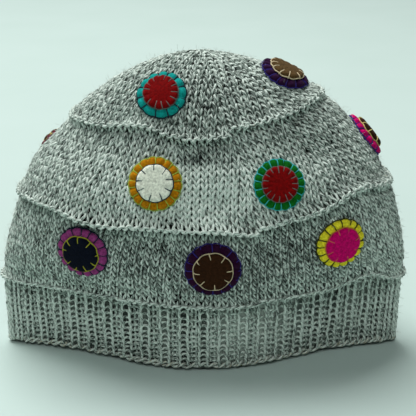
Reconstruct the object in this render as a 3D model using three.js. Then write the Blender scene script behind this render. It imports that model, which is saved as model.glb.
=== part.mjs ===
// A knitted wool hat that stands on its ribbed brim, with round felt patches sewn on in three rows.
// Millimetres, +Z up. The front faces -Y, and the origin is on the floor in the middle of the hat.
import * as THREE from "three";

// Driving dimensions
const HALF_WIDTH = 120;
const FRONT_REACH = 50;
const BACK_REACH = 51;
const HEIGHT = 179;
const BRIM_HEIGHT = 44;
const KNIT_THICKNESS = 3.4;
const BRIM_SEAM = 0.3;
const EDGE_ROUNDING = 4.5;

// Ribs of the brim: pairs of a raised and a sunk column of stitches
const RIB_PAIRS = 52;
const RIB_RELIEF = 2.2;
const RIM_ROUNDING = 1.2;

// Welts: raised rows of stitches that hang over a crease
const WELT_RELIEF = 3.6;
const WELT_REACH = 5.5;
const CREASE_DEPTH = 1.6;
const CREASE_REACH = 4;

// Felt patches: a padded disc and a smaller dot on top of it
const DISC_RADIUS = 15.6;
const DISC_THICKNESS = 2.8;
const DOT_RADIUS = 10.8;
const DOT_THICKNESS = 2;
const FELT_ROUNDING = 1.1;
const SEAT_GAP = 0.45;

// Fineness of the faceted surfaces
const CROWN_SIDES = 72;
const CROWN_BANDS = 13;
const INSIDE_BANDS = 8;
const DISC_SIDES = 18;
const DOT_SIDES = 16;

// Rows of a table as objects with the column names as keys
function table(columns, ...rows) {
  return rows.map((row) =>
    Object.fromEntries(columns.map((name, i) => [name, row[i]])),
  );
}

// Hoops of the fabric from the rim to the tip. level is 0 where the brim meets the crown and 1 at the
// tip. left and right are shares of HALF_WIDTH, front of FRONT_REACH, back and lean of BACK_REACH. The
// rises are shares of the crown's height over the brim, with flank for the places between the four
// sides. pinch draws the hoop in towards a lens, whose side edges stay rounded by EDGE_ROUNDING.
const HOOP_COLUMNS = [
  "level", "left", "right", "front", "back", "lean",
  "riseLeft", "riseFront", "riseRight", "riseBack", "riseFlank", "pinch",
];
const RIM_LEVEL = -0.27;
const HOOPS = table(
  HOOP_COLUMNS,
  [RIM_LEVEL, 0.992, 0.983, 0.78, 0.75, 0, 0, 0, 0, 0, 0, 0.85],
  [0, 0.992, 0.988, 0.9, 0.9, 0, 0, 0, 0, 0, 0.01, 0.52],
  [0.11, 0.979, 0.992, 0.99, 1, 0, 0.132, 0.125, 0.132, 0.125, 0.02, 0.1],
  [0.3, 0.889, 0.918, 1, 1, 0, 0.39, 0.346, 0.412, 0.36, 0.035, -0.1],
  [0.35, 0.865, 0.875, 1, 0.98, 0, 0.445, 0.404, 0.482, 0.419, 0.04, -0.12],
  [0.475, 0.795, 0.785, 0.87, 0.875, 0, 0.574, 0.544, 0.632, 0.551, 0.03, -0.08],
  [0.62, 0.63, 0.572, 0.68, 0.73, 0, 0.743, 0.699, 0.82, 0.713, 0.02, 0],
  [0.72, 0.51, 0.442, 0.56, 0.605, 0.02, 0.831, 0.805, 0.886, 0.816, 0.01, 0],
  [0.82, 0.355, 0.3, 0.4, 0.44, 0.06, 0.915, 0.904, 0.943, 0.912, 0, 0],
  [0.93, 0.175, 0.145, 0.18, 0.19, 0.12, 0.978, 0.978, 0.98, 0.975, 0, 0],
  [1, 0, 0, 0, 0, 0.14, 1, 1, 1, 1, 0, 0],
);
const PINCH_POWER = 4.5;
const EDGE_SPAN = 0.2;

// Welts by level, with their strength on the front and back and at the sides as shares of WELT_RELIEF
const WELTS = table(
  ["name", "level", "faces", "sides"],
  ["brim_welt", 0.022, 0.65, 0.6],
  ["middle_welt", 0.322, 1.15, 0.5],
  ["upper_welt", 0.628, 0.65, 0.25],
);

// Dents, with turn from 0 at the right by way of the back (0.25) to the front (0.75). around and along
// are reaches as shares of HALF_WIDTH, and depth is a share of KNIT_THICKNESS.
const DENTS = table(
  ["turn", "level", "around", "along", "depth"],
  [0.585, 0.56, 0.26, 0.1, 1.2],
  [0.745, 0.562, 0.09, 0.07, 1],
  [0.785, 0.57, 0.1, 0.08, 0.8],
  [0.765, 0.4, 0.1, 0.06, 0.8],
  [0.865, 0.5, 0.16, 0.09, 0.8],
  [0.7, 0.24, 0.1, 0.08, 0.7],
  [0.812, 0.2, 0.12, 0.1, 0.7],
  [0.3, 0.52, 0.3, 0.22, 0.7],
  [0.18, 0.25, 0.2, 0.1, 0.9],
);

// Places where the knit hangs lower than its hoops, or higher where drop is below 0. around is a share of
// a turn, along and drop are shares of the crown's length, and push makes a welt stand out more there.
const DROOPS = table(
  ["turn", "level", "around", "along", "drop", "push"],
  [0.655, 0.322, 0.035, 0.12, 0.024, 0.4],
  [0.79, 0.322, 0.022, 0.12, 0.024, 0],
  [0.835, 0.322, 0.035, 0.12, 0.02, -0.3],
  [0.9, 0.322, 0.03, 0.12, -0.014, -0.2],
  [0.68, 0.628, 0.04, 0.09, -0.034, 0],
  [0.87, 0.628, 0.06, 0.09, 0.018, 0],
);

const FELTS = {
  violet: "#9c3488", navy: "#101a26", aubergine: "#330b34", umber: "#3c2810", yellow: "#cfcc24",
  magenta: "#a9005f", orange: "#c47306", cream: "#d2dac2", green: "#06670e", red: "#870307",
  turquoise: "#0b9891", purple: "#341044", olive: "#735a32", tan: "#c1913a", burgundy: "#6d1a35",
};
const WOOL = "#8c968e";

// Felt patches by row, with the place of the middle, the size as a share of the full radius of disc and
// dot, and the felts of the two
const PATCHES = table(
  ["name", "turn", "level", "size", "felt", "dot"],
  ["low_left", 0.65, 0.182, 0.96, "violet", "navy"],
  ["low_front", 0.756, 0.1655, 1, "aubergine", "umber"],
  ["low_right", 0.8635, 0.1995, 0.94, "yellow", "magenta"],
  ["low_back_1", 0.08, 0.19, 0.96, "orange", "cream"],
  ["low_back_2", 0.2, 0.18, 0.98, "turquoise", "red"],
  ["low_back_3", 0.311, 0.185, 0.95, "yellow", "umber"],
  ["low_back_4", 0.425, 0.185, 0.96, "green", "magenta"],
  ["middle_left", 0.708, 0.4635, 0.93, "orange", "cream"],
  ["middle_front", 0.8185, 0.429, 0.89, "green", "red"],
  ["middle_right", 0.015, 0.478, 0.9, "magenta", "umber"],
  ["middle_back_1", 0.182, 0.455, 0.92, "violet", "yellow"],
  ["middle_back_2", 0.307, 0.46, 0.9, "aubergine", "turquoise"],
  ["middle_far_left", 0.424, 0.446, 0.82, "burgundy", "olive"],
  ["top_left", 0.6875, 0.7705, 0.89, "turquoise", "red"],
  ["top_right", 0.982, 0.76, 0.93, "purple", "olive"],
  ["top_back", 0.188, 0.772, 0.9, "tan", "navy"],
  ["top_far_left", 0.325, 0.754, 0.9, "magenta", "green"],
);

// Smooth share of one column between the hoops: a cubic through the hoops with their mean slopes
function columnAt(key, level) {
  const last = HOOPS.length - 1;
  const found = HOOPS.findIndex((hoop) => hoop.level > level);
  const i = found < 0 ? last - 1 : Math.max(found - 1, 0);
  const slope = (k) => {
    const before = HOOPS[Math.max(k - 1, 0)];
    const after = HOOPS[Math.min(k + 1, last)];
    return (after[key] - before[key]) / (after.level - before.level);
  };
  const span = HOOPS[i + 1].level - HOOPS[i].level;
  const t = THREE.MathUtils.clamp((level - HOOPS[i].level) / span, 0, 1);
  const rest = 1 - t;
  return (
    HOOPS[i][key] * (1 + 2 * t) * rest * rest +
    HOOPS[i + 1][key] * t * t * (3 - 2 * t) +
    span * slope(i) * t * rest * rest -
    span * slope(i + 1) * t * t * rest
  );
}

// Height of the fabric above the floor for a rise over the brim
function heightAt(level, rise) {
  const brim = BRIM_HEIGHT * Math.min(1 - level / RIM_LEVEL, 1);
  return brim + (HEIGHT - BRIM_HEIGHT) * rise;
}

// Outer face of the smooth fabric
function fabricPoint(turn, level) {
  const at = (key) => columnAt(key, level);
  const angle = 2 * Math.PI * turn;
  const across = Math.cos(angle);
  const deep = Math.sin(angle);
  const left = HALF_WIDTH * at("left");
  const right = HALF_WIDTH * at("right");
  const front = FRONT_REACH * at("front");
  const back = BACK_REACH * at("back");
  const drawn = 1 - at("pinch") * (1 - Math.abs(deep) ** PINCH_POWER);
  const edge = EDGE_ROUNDING * at("pinch");
  const rounded = (edge * Math.hypot(1, EDGE_SPAN)) / Math.hypot(deep, EDGE_SPAN);
  const reach = ((back + front) / 2 - edge) * drawn + rounded;
  const side = (at("riseRight") + at("riseLeft")) / 2;
  const face = (at("riseBack") + at("riseFront")) / 2;
  const rise =
    (side + face) / 2 +
    ((at("riseRight") - at("riseLeft")) / 2) * across +
    ((at("riseBack") - at("riseFront")) / 2) * deep +
    ((side - face) / 2) * Math.cos(2 * angle) +
    at("riseFlank") * Math.sin(2 * angle) ** 2;
  return new THREE.Vector3(
    (right - left) / 2 + ((right + left) / 2) * across,
    BACK_REACH * at("lean") + (back - front) / 2 + reach * deep,
    heightAt(level, rise),
  );
}

// Directions around and up the fabric with their lengths, and the normal that points out
function fabricFrame(turn, level) {
  const step = 1e-4;
  const upper = Math.min(level + step, 1);
  const around = fabricPoint(turn + step, level).sub(fabricPoint(turn - step, level));
  const up = fabricPoint(turn, upper).sub(fabricPoint(turn, level - step));
  around.divideScalar(2 * step);
  up.divideScalar(upper - level + step);
  const normal = new THREE.Vector3().crossVectors(around, up).normalize();
  return { around, up, normal };
}

const CROWN_LENGTH = Array.from({ length: 60 }, (_, i) =>
  fabricPoint(0.75, i / 60).distanceTo(fabricPoint(0.75, (i + 1) / 60)),
).reduce((sum, length) => sum + length, 0);

// Sum of one column of the droops, each fading with its distance
function droopSum(key, turn, level) {
  return DROOPS.reduce((sum, droop) => {
    const aside = (THREE.MathUtils.euclideanModulo(turn - droop.turn + 0.5, 1) - 0.5) / droop.around;
    const above = (level - droop.level) / droop.along;
    return sum + droop[key] * Math.exp(-aside * aside - above * above);
  }, 0);
}

// How far the welts lift the fabric: steep below each welt, down into its crease, and gentle above it
function weltRelief(turn, level) {
  const facing = Math.abs(Math.sin(2 * Math.PI * turn));
  return WELTS.reduce((sum, welt) => {
    const above = (level - welt.level) * CROWN_LENGTH;
    const fall = THREE.MathUtils.smoothstep(above, 0, WELT_REACH);
    const lip = THREE.MathUtils.smoothstep(-above, 0, CREASE_REACH / 2);
    const tuck = lip * (1 - THREE.MathUtils.smoothstep(-above, CREASE_REACH / 2, 1.5 * CREASE_REACH));
    const lift = above >= 0 ? 1 - fall : 1 - lip;
    const push = 1 + droopSum("push", turn, welt.level);
    const strength = push * THREE.MathUtils.lerp(welt.sides, welt.faces, facing);
    return sum + strength * (WELT_RELIEF * lift - CREASE_DEPTH * tuck);
  }, 0);
}

// How far the dents sink the fabric at a point of it
function dentRelief(point) {
  return DENTS.reduce((sum, dent) => {
    const from = point.clone().sub(fabricPoint(dent.turn, dent.level));
    const aside = Math.hypot(from.x, from.y) / (dent.around * HALF_WIDTH);
    const above = from.z / (dent.along * HALF_WIDTH);
    return sum - dent.depth * KNIT_THICKNESS * Math.exp(-aside * aside - above * above);
  }, 0);
}

// A point of the fabric lifted out of its smooth face
function lifted(turn, level, lift) {
  const { normal } = fabricFrame(turn, Math.min(level, 1 - 1e-3));
  return fabricPoint(turn, level).addScaledVector(normal, lift);
}

// Closed surface through rings of points, counted from inside to outside. A ring of one point is a pole,
// and looped joins the last ring to the first.
function loft(rings, looped = false) {
  const positions = rings.flat().flatMap((p) => [p.x, p.y, p.z]);
  const starts = rings.map((_, k) => rings.slice(0, k).reduce((n, ring) => n + ring.length, 0));
  const index = [];
  const joins = looped ? rings.length : rings.length - 1;
  for (let k = 0; k < joins; k += 1) {
    const next = (k + 1) % rings.length;
    const low = rings[k].length;
    const high = rings[next].length;
    const sides = Math.max(low, high);
    for (let i = 0; i < sides; i += 1) {
      const j = (i + 1) % sides;
      const a = starts[k] + (i % low);
      const b = starts[k] + (j % low);
      const c = starts[next] + (j % high);
      const d = starts[next] + (i % high);
      if (high > 1) index.push(a, c, d);
      if (low > 1) index.push(a, b, c);
    }
  }
  const geometry = new THREE.BufferGeometry();
  geometry.setAttribute("position", new THREE.Float32BufferAttribute(positions, 3));
  geometry.setIndex(index);
  geometry.computeVertexNormals();
  return geometry;
}

// Numbers from first to last in equal steps
function steps(first, last, count) {
  return Array.from({ length: count + 1 }, (_, i) => first + ((last - first) * i) / count);
}

function mesh(name, geometry, color, roughness) {
  const material = new THREE.MeshStandardMaterial({ color, roughness, metalness: 0 });
  const made = new THREE.Mesh(geometry, material);
  made.name = name;
  return made;
}

// Turns at equal distances around the brim, so that its ribs are equally wide
function evenTurns(count, level) {
  const fine = steps(0, 1, 720);
  const travelled = [0];
  fine.slice(1).forEach((turn, i) => {
    travelled.push(travelled[i] + fabricPoint(turn, level).distanceTo(fabricPoint(fine[i], level)));
  });
  const whole = travelled.at(-1);
  return Array.from({ length: count }, (_, i) => {
    const wanted = (whole * i) / count;
    const after = travelled.findIndex((length) => length > wanted);
    const part = (wanted - travelled[after - 1]) / (travelled[after] - travelled[after - 1]);
    return fine[after - 1] + part * (fine[after] - fine[after - 1]);
  });
}

// Brim: one ring of ribs, each rib a sunk point and two raised ones, on a plain inner face
function ribbedBrim() {
  const pointsPerRib = 3;
  const turns = evenTurns(RIB_PAIRS * pointsPerRib, RIM_LEVEL / 2);
  const gapLevel = BRIM_SEAM / CROWN_LENGTH;
  const ribLift = (i) => (i % pointsPerRib === 0 ? -RIB_RELIEF / 2 : RIB_RELIEF / 2);
  const roundedLevel = RIM_LEVEL * (1 - RIM_ROUNDING / BRIM_HEIGHT);
  const outer = (level, share) => turns.map((turn, i) => lifted(turn, level, ribLift(i) * share));
  const inner = (level) => turns.map((turn) => lifted(turn, level, -KNIT_THICKNESS));
  const rings = [
    inner(-gapLevel),
    inner(RIM_LEVEL),
    turns.map((turn) => lifted(turn, RIM_LEVEL, -RIM_ROUNDING)),
    outer(roundedLevel, 1),
    outer(RIM_LEVEL / 2, 1),
    outer(-gapLevel, 1),
  ];
  rings[1].concat(rings[2]).forEach((p) => p.setZ(0));
  return mesh("ribbed_brim", loft(rings, true), WOOL, 0.95);
}

// Levels of the crown's outer rings: even bands, with more rings across each welt
function crownLevels() {
  const spacing = 1 / CROWN_BANDS;
  const creaseSpan = CREASE_REACH / CROWN_LENGTH;
  const weltSpan = WELT_REACH / CROWN_LENGTH;
  const extra = WELTS.flatMap(({ level }) => [
    level - creaseSpan,
    level - creaseSpan / 2,
    level,
    level + weltSpan / 3,
    level + weltSpan,
  ]);
  const even = steps(spacing, 1 - spacing, CROWN_BANDS - 2).filter((level) =>
    extra.every((other) => Math.abs(other - level) > spacing / 4),
  );
  return [0, ...extra, ...even, 1 - spacing / 3].filter((level) => level >= 0).sort((a, b) => a - b);
}

// Crown: a hollow dome of knit with its welts and dents, open at the brim
function crown() {
  const turns = Array.from({ length: CROWN_SIDES }, (_, i) => i / CROWN_SIDES);
  const outside = (turn, row) => {
    const level = row - droopSum("drop", turn, row);
    return lifted(turn, level, weltRelief(turn, row) + dentRelief(fabricPoint(turn, level)));
  };
  const inside = (turn, level) =>
    lifted(turn, level, dentRelief(fabricPoint(turn, level)) - KNIT_THICKNESS);
  const insideLevels = steps(0, 1, INSIDE_BANDS).slice(0, -1).reverse();
  const rings = [
    [fabricPoint(0, 1).setZ(HEIGHT - KNIT_THICKNESS)],
    ...insideLevels.map((level) => turns.map((turn) => inside(turn, level))),
    ...crownLevels().map((level) => turns.map((turn) => outside(turn, level))),
    [fabricPoint(0, 1)],
  ];
  return mesh("crown", loft(rings), WOOL, 0.95);
}

// Walks over the fabric from a patch's middle, in small steps, to a place given across and up it. The
// place sinks with the fabric where that is dented.
function walk(patch, across, upward, lift) {
  const paces = 4;
  let { turn, level } = patch;
  for (let i = 0; i < paces; i += 1) {
    const { around, up, normal } = fabricFrame(turn, level);
    const sideways = around.clone().normalize();
    const rising = new THREE.Vector3().crossVectors(normal, sideways);
    const climb = upward / paces / up.dot(rising);
    const slide = (across / paces - climb * up.dot(sideways)) / around.length();
    turn += slide;
    level += climb;
  }
  return lifted(turn, level, lift + dentRelief(fabricPoint(turn, level)));
}

// Round of felt that lies on the fabric: its lower face follows the fabric, its upper edge is rounded
function feltRound(patch, radius, base, thickness, sides, lowerRings) {
  const ring = (reach, lift) =>
    Array.from({ length: sides }, (_, i) => {
      const angle = (2 * Math.PI * i) / sides;
      return walk(patch, reach * Math.cos(angle), reach * Math.sin(angle), lift);
    });
  const top = base + thickness;
  return loft([
    [walk(patch, 0, 0, base)],
    ...lowerRings.map((share) => ring(share * radius, base)),
    ring(radius - FELT_ROUNDING / 2, base),
    ring(radius, base + thickness / 2),
    ring(radius - FELT_ROUNDING, top),
    [walk(patch, 0, 0, top)],
  ]);
}

const hat = new THREE.Group();
hat.add(ribbedBrim(), crown());
PATCHES.forEach((patch) => {
  const sewn = new THREE.Group();
  const discRadius = patch.size * DISC_RADIUS;
  const dotRadius = patch.size * DOT_RADIUS;
  const dotBase = 2 * SEAT_GAP + DISC_THICKNESS;
  const disc = feltRound(patch, discRadius, SEAT_GAP, DISC_THICKNESS, DISC_SIDES, [1 / 3, 2 / 3]);
  const dot = feltRound(patch, dotRadius, dotBase, DOT_THICKNESS, DOT_SIDES, [1 / 2]);
  sewn.add(mesh(`felt_disc_${patch.name}`, disc, FELTS[patch.felt], 0.9));
  sewn.add(mesh(`felt_dot_${patch.name}`, dot, FELTS[patch.dot], 0.9));
  hat.add(sewn);
});

// The origin is on the floor in the middle of all that was built
const built = new THREE.Box3().setFromObject(hat);
const middle = built.getCenter(new THREE.Vector3());
hat.position.set(-middle.x, -middle.y, -built.min.z);

export default hat;
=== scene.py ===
"""Looks of a knitted wool hat with round felt patches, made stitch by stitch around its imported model.

Sizes are in millimetres until a mesh is made, which is in metres. The front of the hat faces -Y.
"""

import logging
import math
from dataclasses import dataclass, field
from enum import Enum
from functools import partial
from typing import Callable, Sequence

import bpy
import numpy as np
from mathutils import Matrix, Vector


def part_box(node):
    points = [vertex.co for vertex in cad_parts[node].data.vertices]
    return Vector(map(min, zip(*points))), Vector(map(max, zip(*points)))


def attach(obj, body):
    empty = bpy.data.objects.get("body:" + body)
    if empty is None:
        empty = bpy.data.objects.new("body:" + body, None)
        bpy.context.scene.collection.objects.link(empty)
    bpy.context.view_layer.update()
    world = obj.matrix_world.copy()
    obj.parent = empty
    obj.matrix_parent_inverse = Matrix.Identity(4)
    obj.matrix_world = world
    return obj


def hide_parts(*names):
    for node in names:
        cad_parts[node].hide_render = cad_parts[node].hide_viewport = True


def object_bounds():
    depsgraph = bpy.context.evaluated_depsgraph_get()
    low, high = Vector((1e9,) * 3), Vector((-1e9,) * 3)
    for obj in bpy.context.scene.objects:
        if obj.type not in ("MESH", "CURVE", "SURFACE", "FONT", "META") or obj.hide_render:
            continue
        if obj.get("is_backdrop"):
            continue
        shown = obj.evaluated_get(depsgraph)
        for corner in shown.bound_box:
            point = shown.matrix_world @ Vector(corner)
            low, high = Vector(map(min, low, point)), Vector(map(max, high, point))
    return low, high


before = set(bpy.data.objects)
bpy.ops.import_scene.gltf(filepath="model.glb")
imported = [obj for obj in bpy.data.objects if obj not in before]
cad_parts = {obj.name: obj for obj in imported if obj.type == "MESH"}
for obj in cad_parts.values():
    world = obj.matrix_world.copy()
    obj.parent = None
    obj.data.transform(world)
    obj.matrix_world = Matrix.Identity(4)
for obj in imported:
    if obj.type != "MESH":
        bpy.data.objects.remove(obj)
CAD_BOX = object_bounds()

LOG = logging.getLogger("wool_hat")
METRES = 0.001
BODY = "root"
SEED = 27
Colour = tuple[float, float, float]


def from_hex(code: str) -> Colour:
    """Linear colour of a hexadecimal screen colour.

    Args:
        code: Six hexadecimal digits after a hash sign.

    Returns:
        Red, green and blue for a shader.
    """
    channels = [int(code[i : i + 2], 16) / 255 for i in (1, 3, 5)]
    return tuple(c / 12.92 if c <= 0.04045 else ((c + 0.055) / 1.055) ** 2.4 for c in channels)


class Wale(Enum):
    """Kinds of stitches, by how their yarn runs."""

    KNIT = "knit"
    UNDER_PURL = "knit whose head lies in front"
    PURL = "purl in plain knit"
    RIB_KNIT = "raised column of the ribbing"
    RIB_PURL = "sunk column of the ribbing"


class Felt(Enum):
    """Felts of the patches, by their colour."""

    VIOLET = "#963e7c"
    NAVY = "#040b1b"
    AUBERGINE = "#2d092a"
    UMBER = "#341c0b"
    YELLOW = "#f6ea34"
    MAGENTA = "#d2006b"
    ORANGE = "#bb7c06"
    CREAM = "#f0f6e4"
    GREEN = "#066a19"
    RED = "#7c0203"
    TURQUOISE = "#0d9a93"
    PURPLE = "#2c0d33"
    OLIVE = "#574223"
    TAN = "#c1913a"
    BURGUNDY = "#6d1a35"


class Thread(Enum):
    """Sewing threads of the patches, by their colour."""

    TEAL = "#16283c"
    OLIVE = "#a5a52e"
    INDIGO = "#34297c"
    CREAM = "#d8c8a4"
    MOSS = "#3c4018"
    CORAL = "#cd684c"
    LIME = "#a9c046"
    DARK_TEAL = "#1c3a46"
    CYAN = "#3cbcc2"
    GREY = "#6c6a66"
    NAVY = "#1e2c3c"
    STRAW = "#d6c87a"


# Shape of the fabric


HOOP_COLUMNS = (
    "level", "left", "right", "front", "back", "lean",
    "rise_left", "rise_front", "rise_right", "rise_back", "rise_flank", "pinch",
)
RIM_LEVEL = -0.27
HOOPS = np.array([
    (RIM_LEVEL, 0.992, 0.983, 0.78, 0.75, 0, 0, 0, 0, 0, 0, 0.85),
    (0, 0.992, 0.988, 0.9, 0.9, 0, 0, 0, 0, 0, 0.01, 0.52),
    (0.11, 0.979, 0.992, 0.99, 1, 0, 0.132, 0.125, 0.132, 0.125, 0.02, 0.1),
    (0.3, 0.889, 0.918, 1, 1, 0, 0.39, 0.346, 0.412, 0.36, 0.035, -0.1),
    (0.35, 0.865, 0.875, 1, 0.98, 0, 0.445, 0.404, 0.482, 0.419, 0.04, -0.12),
    (0.475, 0.795, 0.785, 0.87, 0.875, 0, 0.574, 0.544, 0.632, 0.551, 0.03, -0.08),
    (0.62, 0.63, 0.572, 0.68, 0.73, 0, 0.743, 0.699, 0.82, 0.713, 0.02, 0),
    (0.72, 0.51, 0.442, 0.56, 0.605, 0.02, 0.831, 0.805, 0.886, 0.816, 0.01, 0),
    (0.82, 0.355, 0.3, 0.4, 0.44, 0.06, 0.915, 0.904, 0.943, 0.912, 0, 0),
    (0.93, 0.175, 0.145, 0.18, 0.19, 0.12, 0.978, 0.978, 0.98, 0.975, 0, 0),
    (1, 0, 0, 0, 0, 0.14, 1, 1, 1, 1, 0, 0),
])

# Welts: the course that stands proud, and how strongly on the faces and at the sides of the hat
WELT_COLUMNS = ("course", "faces", "sides")
WELTS = np.array([(1, 0.65, 0.6), (15, 1.15, 0.5), (29, 0.65, 0.25)])

DENT_COLUMNS = ("turn", "level", "around", "along", "depth")
DENTS = np.array([
    (0.585, 0.56, 0.26, 0.1, 1.2),
    (0.745, 0.562, 0.09, 0.07, 1),
    (0.785, 0.57, 0.1, 0.08, 0.8),
    (0.765, 0.4, 0.1, 0.06, 0.8),
    (0.865, 0.5, 0.16, 0.09, 0.8),
    (0.7, 0.24, 0.1, 0.08, 0.7),
    (0.812, 0.2, 0.12, 0.1, 0.7),
    (0.3, 0.52, 0.3, 0.22, 0.7),
    (0.18, 0.25, 0.2, 0.1, 0.9),
])

# Places where the knit hangs lower than its hoops, or higher where the drop is below 0, and where a welt
# stands out more
DROOP_COLUMNS = ("turn", "level", "around", "along", "drop", "push")
DROOPS = np.array([
    (0.655, 0.322, 0.035, 0.12, 0.024, 0.4),
    (0.79, 0.322, 0.022, 0.12, 0.024, 0),
    (0.835, 0.322, 0.035, 0.12, 0.02, -0.3),
    (0.9, 0.322, 0.03, 0.12, -0.014, -0.2),
    (0.68, 0.628, 0.04, 0.09, -0.034, 0),
    (0.87, 0.628, 0.06, 0.09, 0.018, 0),
    (0.895, 0.03, 0.03, 0.09, -0.042, 0),
    (0.7, 0.02, 0.07, 0.08, -0.012, 0),
])

# Painted light and shade on the yarn, by place. The yarn is made lighter where light falls: the brim, the
# front's middle band and its left, and low on the right. It is made darker where shade falls: the band under
# the middle welt, the top, the right side, and the dent under the upper welt. The other small rows darken the
# yarn in spots, and the last row is a light knot of the yarn. The tone is below 0 where the yarn is made
# darker
PAINTED_LIGHT_COLUMNS = ("turn", "level", "around", "along", "tone")
PAINTED_LIGHT_AND_SHADE = np.array([
    (0.755, -0.12, 0.5, 0.12, 1.9),
    (0.75, 0.42, 0.1, 0.12, 2.3),
    (0.66, 0.48, 0.08, 0.14, 0.3),
    (0.77, 0.21, 0.1, 0.09, -1.0),
    (0.8, 0.76, 0.14, 0.12, -0.3),
    (0.9, 0.5, 0.05, 0.14, -0.3),
    (0.95, 0.15, 0.06, 0.15, 0.5),
    (0.75, 0.565, 0.016, 0.02, -1.8),
    (0.79, 0.375, 0.014, 0.02, -1.3),
    (0.772, 0.735, 0.01, 0.01, -3.0),
    (0.728, 0.535, 0.007, 0.01, 2.5),
])


def smooth_step(value: np.ndarray, low: float, high: float) -> np.ndarray:
    """Rises smoothly from 0 at low to 1 at high.

    Args:
        value: Where to look.
        low: Start of the rise.
        high: End of the rise.

    Returns:
        A share from 0 to 1 for each value.
    """
    t = np.clip((value - low) / (high - low), 0, 1)
    return t * t * (3 - 2 * t)


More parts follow.
